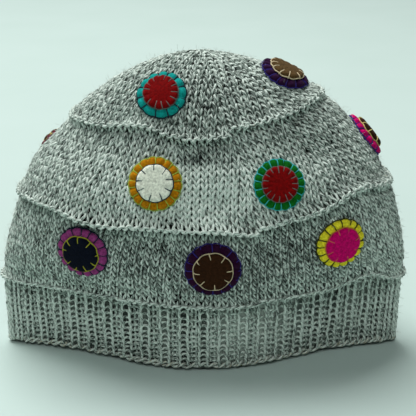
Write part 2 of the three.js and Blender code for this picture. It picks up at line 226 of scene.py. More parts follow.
@dataclass
class Fabric:
    """The surface that all the knit lies on: hoops from the rim up to the tip, with welts and dents.

    A place on it is a turn (0 right, 0.25 back, 0.5 left, 0.75 front) or an equal share of the way round
    from the line where each round starts, and a level: RIM_LEVEL at the rim, 0 at the brim's seam, 1 at
    the tip.
    """

    half_width: float = 120
    front_reach: float = 50
    back_reach: float = 51
    height: float = 179
    brim_height: float = 44
    thickness: float = 3.4
    pinch_power: float = 4.5
    edge_rounding: float = 4.5
    edge_span: float = 0.2
    welt_relief: float = 3.6
    welt_reach: float = 5.5
    crease_depth: float = 1.6
    crease_reach: float = 4
    start_turn: float = 0.7925
    straight_level: float = 0.35
    courses: float = 46.5
    brim_courses: int = 12
    length: float = field(init=False)
    shift: np.ndarray = field(init=False)
    _levels: np.ndarray = field(init=False)
    _turns: np.ndarray = field(init=False)
    _rounds: np.ndarray = field(init=False)

    def __post_init__(self) -> None:
        """Measures the front and the way round at each level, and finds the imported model's middle."""
        up = self.smooth(np.full(61, 0.75), np.linspace(0, 1, 61))
        self.length = float(np.linalg.norm(np.diff(up, axis=0), axis=1).sum())
        self._levels = np.linspace(RIM_LEVEL, 0.999, 120)
        fine = self.start_turn + np.linspace(0, 1, 1025)
        ring = self.smooth(fine[None, :], self._levels[:, None])
        steps = np.linalg.norm(np.diff(ring, axis=1), axis=2)
        travelled = np.concatenate([np.zeros((len(steps), 1)), np.cumsum(steps, axis=1)], axis=1)
        self._rounds = travelled[:, -1].copy()
        shares = np.linspace(0, 1, 513)
        self._turns = np.stack([np.interp(shares, row / row[-1], fine) for row in travelled])
        low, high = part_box("ribbed_brim")
        hoop = self.smooth(np.linspace(0, 1, 721)[None, :], np.array([[RIM_LEVEL], [0.0]])).reshape(-1, 3)
        middle = (hoop.min(axis=0) + hoop.max(axis=0)) / 2
        self.shift = np.array([(low.x + high.x) / 2 / METRES, (low.y + high.y) / 2 / METRES, 0])
        self.shift[:2] -= middle[:2]

    @property
    def pitch(self) -> float:
        """Level that one course of the crown takes."""
        return 1 / self.courses

    @property
    def brim_pitch(self) -> float:
        """Level that one course of the brim takes."""
        return -RIM_LEVEL / self.brim_courses

    def columns(self, level: np.ndarray) -> dict[str, np.ndarray]:
        """Shares of the hoops at some levels, by a cubic with mean slopes.

        Args:
            level: Levels of any shape.

        Returns:
            The columns of the table of hoops by name.
        """
        at = HOOPS[:, 0]
        i = np.clip(np.searchsorted(at, level, side="right") - 1, 0, len(at) - 2)
        span = at[i + 1] - at[i]
        t = np.clip((level - at[i]) / span, 0, 1)
        rest = 1 - t
        found = {}
        for k, name in enumerate(HOOP_COLUMNS[1:], 1):
            share = HOOPS[:, k]
            slope = np.gradient(share, at)
            slope[1:-1] = (share[2:] - share[:-2]) / (at[2:] - at[:-2])
            found[name] = (
                share[i] * (1 + 2 * t) * rest * rest
                + share[i + 1] * t * t * (3 - 2 * t)
                + span * slope[i] * t * rest * rest
                - span * slope[i + 1] * t * t * rest
            )
        return found

    def smooth(self, turn: np.ndarray, level: np.ndarray) -> np.ndarray:
        """Points of the fabric's smooth face, before the model's middle is moved to the origin.

        Args:
            turn: Turns around the hat.
            level: Levels up the hat.

        Returns:
            Points in millimetres, with the coordinates on the last axis.
        """
        turn, level = np.broadcast_arrays(np.asarray(turn, float), np.asarray(level, float))
        at = self.columns(level)
        angle = 2 * np.pi * turn
        across, deep = np.cos(angle), np.sin(angle)
        left, right = self.half_width * at["left"], self.half_width * at["right"]
        front, back = self.front_reach * at["front"], self.back_reach * at["back"]
        drawn = 1 - at["pinch"] * (1 - np.abs(deep) ** self.pinch_power)
        edge = self.edge_rounding * at["pinch"]
        rounded = edge * np.hypot(1, self.edge_span) / np.hypot(deep, self.edge_span)
        reach = ((back + front) / 2 - edge) * drawn + rounded
        side = (at["rise_right"] + at["rise_left"]) / 2
        face = (at["rise_back"] + at["rise_front"]) / 2
        rise = (
            (side + face) / 2
            + (at["rise_right"] - at["rise_left"]) / 2 * across
            + (at["rise_back"] - at["rise_front"]) / 2 * deep
            + (side - face) / 2 * np.cos(2 * angle)
            + at["rise_flank"] * np.sin(2 * angle) ** 2
        )
        brim = self.brim_height * np.minimum(1 - level / RIM_LEVEL, 1)
        return np.stack([
            (right - left) / 2 + (right + left) / 2 * across,
            self.back_reach * at["lean"] + (back - front) / 2 + reach * deep,
            brim + (self.height - self.brim_height) * rise,
        ], axis=-1)

    def directions(self, turn: np.ndarray, level: np.ndarray) -> tuple[np.ndarray, np.ndarray, np.ndarray]:
        """Slopes of the fabric around and up it, and its normal out.

        Args:
            turn: Turns around the hat.
            level: Levels up the hat.

        Returns:
            Millimetres for each turn around, millimetres for each level up, and the unit normal.
        """
        step = 1e-4
        turn, level = np.broadcast_arrays(np.asarray(turn, float), np.asarray(level, float))
        level = np.minimum(level, 1 - 1e-3)
        around = (self.smooth(turn + step, level) - self.smooth(turn - step, level)) / (2 * step)
        up = (self.smooth(turn, level + step) - self.smooth(turn, level - step)) / (2 * step)
        normal = np.cross(around, up)
        return around, up, normal / np.linalg.norm(normal, axis=-1, keepdims=True)

    def turn_of(self, share: np.ndarray, level: np.ndarray) -> np.ndarray:
        """Turn at an equal share of the way round from the line where the rounds start.

        Under the straight level the columns of stitches run straight down.

        Args:
            share: Share of the way round, which may pass 0 or 1.
            level: Levels up the hat.

        Returns:
            The turns.
        """
        share, level = np.broadcast_arrays(np.asarray(share, float), np.maximum(level, self.straight_level))
        whole = np.floor(share)
        column = (share - whole) * (self._turns.shape[1] - 1)
        j = np.clip(column.astype(int), 0, self._turns.shape[1] - 2)
        last = len(self._levels) - 1.001
        row = np.clip(np.interp(level, self._levels, np.arange(len(self._levels))), 0, last)
        i = row.astype(int)
        s, t = column - j, row - i
        grid = self._turns
        low = grid[i, j] * (1 - s) + grid[i, j + 1] * s
        high = grid[i + 1, j] * (1 - s) + grid[i + 1, j + 1] * s
        return whole + low * (1 - t) + high * t

    def way_round(self, level: np.ndarray) -> np.ndarray:
        """Millimetres once round the hat at some levels."""
        return np.interp(level, self._levels, self._rounds)

    def patchwork(
        self, table: np.ndarray, columns: Sequence[str], wanted: str, turn: np.ndarray, level: np.ndarray
    ) -> np.ndarray:
        """Sum of one column of a table of places, each fading with its distance.

        Args:
            table: DROOPS or PAINTED_LIGHT_AND_SHADE.
            columns: Names of its columns.
            wanted: The column to sum up.
            turn: Turns around the hat.
            level: Levels of the courses.

        Returns:
            The sums.
        """
        total = np.zeros(np.broadcast(turn, level).shape)
        for row in table:
            at = dict(zip(columns, row))
            aside = (np.mod(turn - at["turn"] + 0.5, 1) - 0.5) / at["around"]
            above = (level - at["level"]) / at["along"]
            total += at[wanted] * np.exp(-aside * aside - above * above)
        return total

    def droop(self, column: str, turn: np.ndarray, level: np.ndarray) -> np.ndarray:
        """Sum of the droops' "drop" or "push" at some turns and levels."""
        return self.patchwork(DROOPS, DROOP_COLUMNS, column, turn, level)

    def tone(self, share: np.ndarray, level: np.ndarray) -> np.ndarray:
        """How much lighter the yarn is made at some shares and levels, mostly as painted light and shade, and
        darker where it is below 0.
        """
        return self.patchwork(PAINTED_LIGHT_AND_SHADE, PAINTED_LIGHT_COLUMNS, "tone", self.turn_of(share, level), level)

    def spiral(self, share: np.ndarray, level: np.ndarray) -> np.ndarray:
        """Level that a course really has, because the rounds climb like a screw.

        Args:
            share: Share of the way round.
            level: Level of the course halfway round.

        Returns:
            The levels, which differ by one course where the rounds start.
        """
        brim = np.clip(1 - level / RIM_LEVEL, 0, 1)
        return level + self.pitch * (0.5 - share) * brim

    def welt_lift(self, turn: np.ndarray, course_level: np.ndarray) -> np.ndarray:
        """How far the welts lift the fabric, and their creases sink it.

        Args:
            turn: Turns around the hat.
            course_level: Levels of the courses, without the screw.

        Returns:
            Millimetres along the normal.
        """
        facing = np.abs(np.sin(2 * np.pi * turn))
        total = np.zeros(np.broadcast(turn, course_level).shape)
        for course, faces, sides in WELTS:
            above = (course_level - course * self.pitch) * self.length
            fall = smooth_step(above, 0, self.welt_reach)
            lip = smooth_step(-above, 0, self.crease_reach / 2)
            tuck = lip * (1 - smooth_step(-above, self.crease_reach / 2, 1.5 * self.crease_reach))
            lift = np.where(above >= 0, 1 - fall, 1 - lip)
            push = self.droop("push", turn, course * self.pitch)
            strength = (sides + (faces - sides) * facing) * (1 + push)
            total += strength * (self.welt_relief * lift - self.crease_depth * tuck)
        return total

    def dent_lift(self, point: np.ndarray) -> np.ndarray:
        """How far the dents sink the fabric at points of its smooth face.

        Args:
            point: Points of the smooth face.

        Returns:
            Millimetres along the normal, at most 0.
        """
        total = np.zeros(point.shape[:-1])
        for turn, level, around, along, depth in DENTS:
            away = point - self.smooth(turn, level)
            aside = np.hypot(away[..., 0], away[..., 1]) / (around * self.half_width)
            above = away[..., 2] / (along * self.half_width)
            total -= depth * self.thickness * np.exp(-aside * aside - above * above)
        return total

    def place(self, turn: np.ndarray, level: np.ndarray, lift: np.ndarray | float) -> np.ndarray:
        """Points over the fabric with its dents, but without welts, in the model's own place.

        Args:
            turn: Turns around the hat.
            level: Levels up the hat.
            lift: Millimetres out of the fabric.

        Returns:
            Points in millimetres.
        """
        point = self.smooth(turn, level)
        normal = self.directions(turn, level)[2]
        out = np.asarray(lift) + self.dent_lift(point)
        return point + normal * out[..., None] + self.shift

    def knit_place(self, share: np.ndarray, course_level: np.ndarray, lift: np.ndarray | float) -> np.ndarray:
        """Points over the knit, with welts and dents, that follow the screw of the rounds.

        Args:
            share: Share of the way round.
            course_level: Levels of the courses, without the screw.
            lift: Millimetres out of the knit's middle face.

        Returns:
            Points in millimetres.
        """
        level = self.spiral(share, course_level)
        level = level - self.droop("drop", self.turn_of(share, level), course_level)
        turn = self.turn_of(share, level)
        return self.place(turn, level, np.asarray(lift) + self.welt_lift(turn, course_level))

    def walk(
        self, turn: float, level: float, across: np.ndarray, upward: np.ndarray
    ) -> tuple[np.ndarray, np.ndarray]:
        """Walks over the fabric from a place to others given in millimetres across and up it.

        Args:
            turn: Turn of the start.
            level: Level of the start.
            across: Millimetres to the right, seen from outside.
            upward: Millimetres up.

        Returns:
            Turns and levels of the places.
        """
        paces = 6
        turns = np.full(np.shape(across), float(turn))
        levels = np.full(np.shape(across), float(level))
        for _ in range(paces):
            around, up, normal = self.directions(turns, levels)
            length = np.linalg.norm(around, axis=-1)
            sideways = around / length[..., None]
            rising = np.cross(normal, sideways)
            climb = upward / paces / (up * rising).sum(-1)
            slide = (across / paces - climb * (up * sideways).sum(-1)) / length
            turns, levels = turns + slide, levels + climb
        return turns, levels


# Meshes


def mesh_object(name: str, points: np.ndarray, faces: Sequence, edges: Sequence = ()) -> bpy.types.Object:
    """New object from points in millimetres.

    Args:
        name: Name of the piece.
        points: Points in millimetres.
        faces: Faces as tuples of indices.
        edges: Edges as pairs of indices.

    Returns:
        The object, linked to the scene.
    """
    mesh = bpy.data.meshes.new(name)
    places = (np.asarray(points) * METRES).tolist()
    mesh.from_pydata(places, [tuple(e) for e in edges], [tuple(f) for f in faces])
    made = bpy.data.objects.new(name, mesh)
    bpy.context.scene.collection.objects.link(made)
    if len(faces):
        mesh.shade_smooth()
    return made


def ring_faces(rings: int, sides: int, looped: bool = False) -> list[tuple[int, ...]]:
    """Faces between rings of points, which point out when the rings run counterclockwise and upwards.

    Args:
        rings: How many rings.
        sides: Points in each ring.
        looped: Whether the last ring joins the first.

    Returns:
        Faces of four points.
    """
    faces = []
    for k in range(rings if looped else rings - 1):
        low, high = k * sides, ((k + 1) % rings) * sides
        for i in range(sides):
            j = (i + 1) % sides
            faces.append((low + i, low + j, high + j, high + i))
    return faces


def closed_faces(rings: int, sides: int) -> list[tuple[int, ...]]:
    """Faces between rings of points, closed at both ends by the two points that come after the rings.

    Args:
        rings: How many rings.
        sides: Points in each ring.

    Returns:
        Faces of four points, then those around the lower and the upper end.
    """
    last = (rings - 1) * sides
    low, high = rings * sides, rings * sides + 1
    faces = ring_faces(rings, sides)
    faces += [(low, (i + 1) % sides, i) for i in range(sides)]
    faces += [(last + i, last + (i + 1) % sides, high) for i in range(sides)]
    return faces


def line_edges(lines: Sequence[np.ndarray]) -> list[tuple[int, int]]:
    """Edges along lines whose points follow one another."""
    edges, first = [], 0
    for line in lines:
        edges += [(first + i, first + i + 1) for i in range(len(line) - 1)]
        first += len(line)
    return edges


def float_attribute(mesh: bpy.types.Mesh, name: str, values: np.ndarray) -> None:
    """Gives a mesh a number at each point."""
    mesh.attributes.new(name, "FLOAT", "POINT").data.foreach_set("value", np.asarray(values, np.float32))


def ride(piece: bpy.types.Object, replaces: Sequence[str] = ()) -> None:
    """Fixes a piece to the hat and reports it.

    Args:
        piece: The finished piece.
        replaces: Nodes of the model that it stands for.
    """
    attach(piece, BODY)
    if replaces:
        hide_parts(*replaces)
    triangles = sum(len(p.vertices) - 2 for p in piece.data.polygons)
    LOG.info("%s: %d triangles", piece.name, triangles)


# Geometry node trees


class NodeTree:
    """Small helper that adds and links nodes of a tree."""

    def __init__(self, tree: bpy.types.NodeTree) -> None:
        """Keeps the tree to build in."""
        self.tree = tree

    def add(self, kind: str, inputs: dict | None = None, **settings: object) -> bpy.types.Node:
        """Adds a node.

        Args:
            kind: Type of the node.
            inputs: Values or sockets by the name or index of an input.
            **settings: Properties of the node.

        Returns:
            The node.
        """
        node = self.tree.nodes.new(kind)
        for key, value in settings.items():
            setattr(node, key, value)
        for key, value in (inputs or {}).items():
            if isinstance(value, bpy.types.NodeSocket):
                self.tree.links.new(value, node.inputs[key])
            else:
                node.inputs[key].default_value = value
        return node

    def math(self, operation: str, *values: object) -> bpy.types.NodeSocket:
        """Output of a math node with some values or sockets."""
        return self.add("ShaderNodeMath", dict(enumerate(values)), operation=operation).outputs[0]

    def vector(self, operation: str, *values: object, scale: float = 1.0) -> bpy.types.NodeSocket:
        """Output of a vector math node with some values or sockets, and a scale where it scales."""
        node = self.add("ShaderNodeVectorMath", dict(enumerate(values)), operation=operation)
        node.inputs[3].default_value = scale
        return node.outputs["Vector"]


SOCKETS = {
    "geometry": "NodeSocketGeometry",
    "float": "NodeSocketFloat",
    "int": "NodeSocketInt",
    "vector": "NodeSocketVector",
    "colour": "NodeSocketColor",
    "material": "NodeSocketMaterial",
}


def new_tree(name: str, kind: str, inputs: dict[str, str], outputs: dict[str, str]) -> tuple:
    """New node group with its sockets.

    Args:
        name: Name of the group.
        kind: Type of the tree.
        inputs: Kinds of the input sockets by name.
        outputs: Kinds of the output sockets by name.

    Returns:
        The helper, the group's input node and its output node.
    """
    tree = bpy.data.node_groups.new(name, kind)
    for socket, word in inputs.items():
        tree.interface.new_socket(socket, in_out="INPUT", socket_type=SOCKETS[word])
    for socket, word in outputs.items():
        tree.interface.new_socket(socket, in_out="OUTPUT", socket_type=SOCKETS[word])
    helper = NodeTree(tree)
    return helper, helper.add("NodeGroupInput"), helper.add("NodeGroupOutput")


def strand_tree() -> bpy.types.NodeTree:
    """Tree that gives each line of edges a round section, for yarn and thread.

    Returns:
        A tree with the inputs Radius, Sides and Material.
    """
    t, given, result = new_tree(
        "strand", "GeometryNodeTree",
        {"Geometry": "geometry", "Radius": "float", "Sides": "int", "Material": "material"},
        {"Geometry": "geometry"},
    )
    line = t.add("GeometryNodeMeshToCurve", {"Mesh": given.outputs["Geometry"]})
    swell = t.add("GeometryNodeInputNamedAttribute", {"Name": "swell"}, data_type="FLOAT")
    sized = t.add("GeometryNodeSetCurveRadius", {
        "Curve": line.outputs[0], "Radius": swell.outputs["Attribute"],
    })
    section = t.add(
        "GeometryNodeCurvePrimitiveCircle",
        {"Resolution": given.outputs["Sides"], "Radius": given.outputs["Radius"]},
    )
    place = t.add("GeometryNodeInputPosition")
    marked = t.add(
        "GeometryNodeStoreNamedAttribute",
        {"Geometry": section.outputs["Curve"], "Name": "side"},
        data_type="FLOAT_VECTOR", domain="POINT",
    )
    t.tree.links.new(t.vector("NORMALIZE", place.outputs[0]), marked.inputs["Value"])
    tube = t.add(
        "GeometryNodeCurveToMesh",
        {"Curve": sized.outputs[0], "Profile Curve": marked.outputs[0], "Fill Caps": True},
    )
    smooth = t.add("GeometryNodeSetShadeSmooth", {"Geometry": tube.outputs[0]})
    real = t.add("GeometryNodeRealizeInstances", {"Geometry": smooth.outputs[0]})
    dressed = t.add(
        "GeometryNodeSetMaterial", {"Geometry": real.outputs[0], "Material": given.outputs["Material"]}
    )
    t.tree.links.new(dressed.outputs[0], result.inputs["Geometry"])
    return t.tree


def fuzz_tree() -> bpy.types.NodeTree:
    """Tree that scatters bent hairs over a face and leans them at random.

    Returns:
        A tree with inputs for how many hairs there are, how long and how thick they are, and a seed.
    """
    t, given, result = new_tree(
        "fuzz", "GeometryNodeTree",
        {
            "Geometry": "geometry", "Density": "float", "Length": "float", "Radius": "float",
            "Lean": "float", "Seed": "int", "Material": "material",
        },
        {"Geometry": "geometry"},
    )
    points = t.add(
        "GeometryNodeDistributePointsOnFaces",
        {
            "Mesh": given.outputs["Geometry"], "Density": given.outputs["Density"],
            "Seed": given.outputs["Seed"],
        },
    )
    bow = t.add("GeometryNodeCurvePrimitiveBezierSegment", {
        "Resolution": 3, "Start": (0, 0, 0), "Start Handle": (0, 0, 0.4), "End Handle": (0.15, 0, 0.75),
        "End": (0.45, 0, 1),
    }, mode="POSITION")
    long = t.add("ShaderNodeCombineXYZ", {
        "X": given.outputs["Length"], "Y": given.outputs["Length"], "Z": given.outputs["Length"],
    })
    sized = t.add("GeometryNodeTransform", {"Geometry": bow.outputs[0], "Scale": long.outputs[0]})
    along = t.add("GeometryNodeSplineParameter")
    thin = t.math("SUBTRACT", 1.15, along.outputs["Factor"])
    tapered = t.add("GeometryNodeSetCurveRadius", {"Curve": sized.outputs[0], "Radius": thin})
    section = t.add("GeometryNodeCurvePrimitiveCircle", {"Resolution": 3, "Radius": given.outputs["Radius"]})
    hair = t.add("GeometryNodeCurveToMesh", {
        "Curve": tapered.outputs[0], "Profile Curve": section.outputs["Curve"], "Fill Caps": True,
    })
    lean = t.add("FunctionNodeRandomValue", {"Seed": given.outputs["Seed"]}, data_type="FLOAT_VECTOR")
    lowest = t.add("ShaderNodeCombineXYZ", {"X": t.math("MULTIPLY", given.outputs["Lean"], -1.0),
                                            "Y": t.math("MULTIPLY", given.outputs["Lean"], -1.0), "Z": 0.0})
    highest = t.add("ShaderNodeCombineXYZ", {
        "X": given.outputs["Lean"], "Y": given.outputs["Lean"], "Z": 6.28,
    })
    t.tree.links.new(lowest.outputs[0], lean.inputs["Min"])
    t.tree.links.new(highest.outputs[0], lean.inputs["Max"])
    turned = t.add(
        "FunctionNodeRotateRotation", {"Rotation": points.outputs["Rotation"]}, rotation_space="LOCAL"
    )
    t.tree.links.new(lean.outputs["Value"], turned.inputs["Rotate By"])
    size = t.add("FunctionNodeRandomValue", {"Seed": given.outputs["Seed"]}, data_type="FLOAT")
    size.inputs[2].default_value = 0.35
    size.inputs[3].default_value = 1.25
    placed = t.add("GeometryNodeInstanceOnPoints", {
        "Points": points.outputs["Points"], "Instance": hair.outputs[0], "Rotation": turned.outputs[0],
        "Scale": size.outputs[1],
    })
    real = t.add("GeometryNodeRealizeInstances", {"Geometry": placed.outputs[0]})
    smooth = t.add("GeometryNodeSetShadeSmooth", {"Geometry": real.outputs[0]})
    dressed = t.add(
        "GeometryNodeSetMaterial", {"Geometry": smooth.outputs[0], "Material": given.outputs["Material"]}
    )
    t.tree.links.new(dressed.outputs[0], result.inputs["Geometry"])
    return t.tree


def grown(source: bpy.types.Object, tree: bpy.types.NodeTree, **values: object) -> bpy.types.Object:
    """Runs a tree on an object and keeps the result as a plain mesh under the same name.

    Args:
        source: The object that the tree starts from.
        tree: The tree.
        **values: Its inputs by name, with spaces as underscores.

    Returns:
        The object with its new mesh.
    """
    identifiers = {s.name: s.identifier for s in tree.interface.items_tree if s.in_out == "INPUT"}
    modifier = source.modifiers.new(tree.name, "NODES")
    modifier.node_group = tree
    for name, value in values.items():
        modifier[identifiers[name.replace("_", " ")]] = value
    graph = bpy.context.evaluated_depsgraph_get()
    result = bpy.data.meshes.new_from_object(
        source.evaluated_get(graph), preserve_all_data_layers=True, depsgraph=graph
    )
    source.modifiers.clear()
    old = source.data
    source.data = result
    bpy.data.meshes.remove(old)
    result.name = source.name
    return source


# Finishes


def marled_group() -> bpy.types.NodeTree:
    """Shader group for marled yarn: dark and light fibres twisted together.

    Returns:
        A group that puts out a colour, a height and a roughness.
    """
    t, given, result = new_tree(
        "marled_wool", "ShaderNodeTree",
        {
            "Side": "vector", "Along": "float", "Tone": "float", "Light": "colour", "Middle": "colour",
            "Dark": "colour", "Fleck": "colour", "Fleck Share": "float", "Twist": "float",
        },
        {"Color": "colour", "Height": "float", "Roughness": "float"},
    )
    side = t.add("ShaderNodeSeparateXYZ", {0: given.outputs["Side"]})
    angle = t.math("ARCTAN2", side.outputs["Y"], side.outputs["X"])
    phase = t.math("ADD", angle, t.math("MULTIPLY", given.outputs["Along"], given.outputs["Twist"]))
    twisted = t.add("ShaderNodeCombineXYZ", {
        "X": t.math("COSINE", phase), "Y": t.math("SINE", phase),
        "Z": t.math("MULTIPLY", given.outputs["Along"], 0.32),
    })
    plies = t.add("ShaderNodeTexNoise", {
        "Vector": twisted.outputs[0], "Scale": 1.3, "Detail": 1.0, "Roughness": 0.5,
    })
    fibres = t.add("ShaderNodeTexNoise", {
        "Vector": t.vector("MULTIPLY", twisted.outputs[0], (5.0, 5.0, 1.5)), "Scale": 1.8, "Detail": 3.0,
        "Roughness": 0.75,
    })
    bends = t.math("MULTIPLY", plies.outputs[0], 7.0)
    twist = t.math("SINE", t.math("ADD", t.math("MULTIPLY", phase, 2.0), bends))
    shade = t.math("MULTIPLY_ADD", twist, 0.36, 0.48)
    shade = t.math("MULTIPLY_ADD", t.math("SUBTRACT", fibres.outputs[0], 0.5), 2.0, shade)
    shade = t.math("MULTIPLY_ADD", t.math("SUBTRACT", plies.outputs[0], 0.5), 1.3, shade)
    # Each point's lightness, which carries painted light and shade as well as the legs' own differences,
    # lightens or darkens the yarn here
    shade = t.math("MULTIPLY_ADD", given.outputs["Tone"], 0.24, shade)
    low_half = t.add("ShaderNodeMapRange", {"Value": shade, "From Min": 0.0, "From Max": 0.5})
    high_half = t.add("ShaderNodeMapRange", {"Value": shade, "From Min": 0.5, "From Max": 1.0})
    darker = t.add("ShaderNodeMix", data_type="RGBA")
    t.tree.links.new(low_half.outputs[0], darker.inputs["Factor"])
    t.tree.links.new(given.outputs["Dark"], darker.inputs[6])
    t.tree.links.new(given.outputs["Middle"], darker.inputs[7])
    blend = t.add("ShaderNodeMix", data_type="RGBA")
    t.tree.links.new(high_half.outputs[0], blend.inputs["Factor"])
    t.tree.links.new(darker.outputs[2], blend.inputs[6])
    t.tree.links.new(given.outputs["Light"], blend.inputs[7])
    flecks = t.add("ShaderNodeTexNoise", {
        "Vector": t.vector("ADD", twisted.outputs[0], (7.3, 1.9, 4.1)), "Scale": 1.9, "Detail": 1.0,
    })
    fleck = t.add("ShaderNodeMapRange", {
        "Value": t.math("ADD", flecks.outputs[0], given.outputs["Fleck Share"]),
        "From Min": 0.72, "From Max": 0.86,
    })
    tinted = t.add("ShaderNodeMix", data_type="RGBA")
    t.tree.links.new(fleck.outputs[0], tinted.inputs["Factor"])
    t.tree.links.new(blend.outputs[2], tinted.inputs[6])
    t.tree.links.new(given.outputs["Fleck"], tinted.inputs[7])
    height = t.math("ADD", t.math("MULTIPLY", twist, 0.3), t.math("MULTIPLY", fibres.outputs[0], 1.2))
    rough = t.add("ShaderNodeMapRange", {"Value": fibres.outputs[0], "To Min": 0.85, "To Max": 1.0})
    t.tree.links.new(tinted.outputs[2], result.inputs["Color"])
    t.tree.links.new(height, result.inputs["Height"])
    t.tree.links.new(rough.outputs[0], result.inputs["Roughness"])
    return t.tree


def felt_group() -> bpy.types.NodeTree:
    """Shader group for felt: matted fibres, mottled colour and a paler nap.

    Returns:
        A group that puts out a colour, a height and a roughness.
    """
    t, given, result = new_tree(
        "felt_nap", "ShaderNodeTree",
        {"Place": "vector", "Color": "colour", "Nap": "colour", "Mottle": "float"},
        {"Color": "colour", "Height": "float", "Roughness": "float"},
    )
    coarse = t.add("ShaderNodeTexNoise", {"Vector": given.outputs["Place"], "Scale": 800.0, "Detail": 4.0})
    bent = t.vector("ADD", given.outputs["Place"], t.vector("SCALE", coarse.outputs["Color"], scale=0.0016))
    fibres = t.add("ShaderNodeTexNoise", {
        "Vector": t.vector("MULTIPLY", bent, (1, 0.45, 1)), "Scale": 3100.0, "Detail": 2.0, "Roughness": 0.65,
    })
    dark = t.add("ShaderNodeMix", data_type="RGBA", blend_type="MULTIPLY")
    t.tree.links.new(given.outputs["Mottle"], dark.inputs["Factor"])
    t.tree.links.new(given.outputs["Color"], dark.inputs[6])
    grey = t.add("ShaderNodeMapRange", {"Value": coarse.outputs[0], "From Min": 0.3, "From Max": 0.7,
                                        "To Min": 0.45, "To Max": 1.15})
    t.tree.links.new(grey.outputs[0], dark.inputs[7])
    lit = t.add("ShaderNodeMix", data_type="RGBA")
    hairs = t.add("ShaderNodeMapRange", {"Value": fibres.outputs[0], "From Min": 0.56, "From Max": 0.75,
                                         "To Max": 0.4})
    t.tree.links.new(hairs.outputs[0], lit.inputs["Factor"])
    t.tree.links.new(dark.outputs[2], lit.inputs[6])
    t.tree.links.new(given.outputs["Nap"], lit.inputs[7])
    fine = t.math("MULTIPLY", fibres.outputs[0], 0.5)
    height = t.math("ADD", t.math("MULTIPLY", coarse.outputs[0], 0.7), fine)
    rough = t.add("ShaderNodeMapRange", {"Value": fibres.outputs[0], "To Min": 0.85, "To Max": 1.0})
    t.tree.links.new(lit.outputs[2], result.inputs["Color"])
    t.tree.links.new(height, result.inputs["Height"])
    t.tree.links.new(rough.outputs[0], result.inputs["Roughness"])
    return t.tree


@dataclass(frozen=True)
class Finish:
    """What all the cloths of the hat share in their shaders."""

    name: str
    bump: float
    bump_depth: float
    sheen: float
    specular: float

    def start(self) -> tuple[bpy.types.Material, NodeTree, bpy.types.Node]:
        """Makes the material with its shader.

        Returns:
            The material, the helper of its tree and the Principled BSDF.
        """
        material = bpy.data.materials.new(self.name)
        material.use_nodes = True
        helper = NodeTree(material.node_tree)
        shader = material.node_tree.nodes["Principled BSDF"]
        shader.inputs["Specular IOR Level"].default_value = self.specular
        shader.inputs["Sheen Weight"].default_value = self.sheen
        shader.inputs["Sheen Roughness"].default_value = 0.5
        return material, helper, shader

    def join(self, helper: NodeTree, group: bpy.types.Node, shader: bpy.types.Node) -> None:
        """Links the group's colour, roughness and height to the shader.

        Args:
            helper: Helper of the material's tree.
            group: The group's node.
            shader: The Principled BSDF.
        """
        links = helper.tree.links
        links.new(group.outputs["Color"], shader.inputs["Base Color"])
        links.new(group.outputs["Roughness"], shader.inputs["Roughness"])
        bump = helper.add("ShaderNodeBump", {
            "Strength": self.bump, "Distance": self.bump_depth, "Height": group.outputs["Height"],
        })
        links.new(bump.outputs[0], shader.inputs["Normal"])


@dataclass(frozen=True)
class YarnFinish(Finish):
    """Marled yarn, coloured along and around each strand."""

    light: Colour = from_hex("#e8f5ec")
    middle: Colour = from_hex("#94a59c")
    dark: Colour = from_hex("#1c2320")
    fleck: Colour = from_hex("#d9cfa8")
    fleck_share: float = 0.0
    twist: float = 0.75
    twisted: bool = True

    def make(self, group: bpy.types.NodeTree) -> bpy.types.Material:
        """Builds the material.

        Args:
            group: The marled wool group.

        Returns:
            The material.
        """
        material, t, shader = self.start()
        node = t.add("ShaderNodeGroup", node_tree=group)
        if self.twisted:
            side = t.add("ShaderNodeAttribute", attribute_name="side")
            along = t.add("ShaderNodeAttribute", attribute_name="along")
            tone = t.add("ShaderNodeAttribute", attribute_name="tone")
            t.tree.links.new(side.outputs["Vector"], node.inputs["Side"])
            t.tree.links.new(along.outputs["Fac"], node.inputs["Along"])
            t.tree.links.new(tone.outputs["Fac"], node.inputs["Tone"])
        else:
            place = t.add("ShaderNodeTexCoord")
            spread = t.vector("MULTIPLY", place.outputs["Object"], (300, 300, 300))
            t.tree.links.new(spread, node.inputs["Side"])
        node.inputs["Light"].default_value = (*self.light, 1)
        node.inputs["Middle"].default_value = (*self.middle, 1)
        node.inputs["Dark"].default_value = (*self.dark, 1)
        node.inputs["Fleck"].default_value = (*self.fleck, 1)
        node.inputs["Fleck Share"].default_value = self.fleck_share
        node.inputs["Twist"].default_value = self.twist
        self.join(t, node, shader)
        return material


@dataclass(frozen=True)
class FeltFinish(Finish):
    """Wool felt or sewing thread of one colour."""

    colour: Colour = (0.5, 0.5, 0.5)
    mottle: float = 0.8

    def make(self, group: bpy.types.NodeTree) -> bpy.types.Material:
        """Builds the material.

        Args:
            group: The felt group.

        Returns:
            The material.
        """
        material, t, shader = self.start()
        place = t.add("ShaderNodeTexCoord")
        node = t.add("ShaderNodeGroup", node_tree=group)
        t.tree.links.new(place.outputs["Object"], node.inputs["Place"])
        nap = tuple(c * 1.25 + (1 - c) * 0.025 for c in self.colour)
        node.inputs["Color"].default_value = (*self.colour, 1)
        node.inputs["Nap"].default_value = (*nap, 1)
        node.inputs["Mottle"].default_value = self.mottle
        self.join(t, node, shader)
        return material


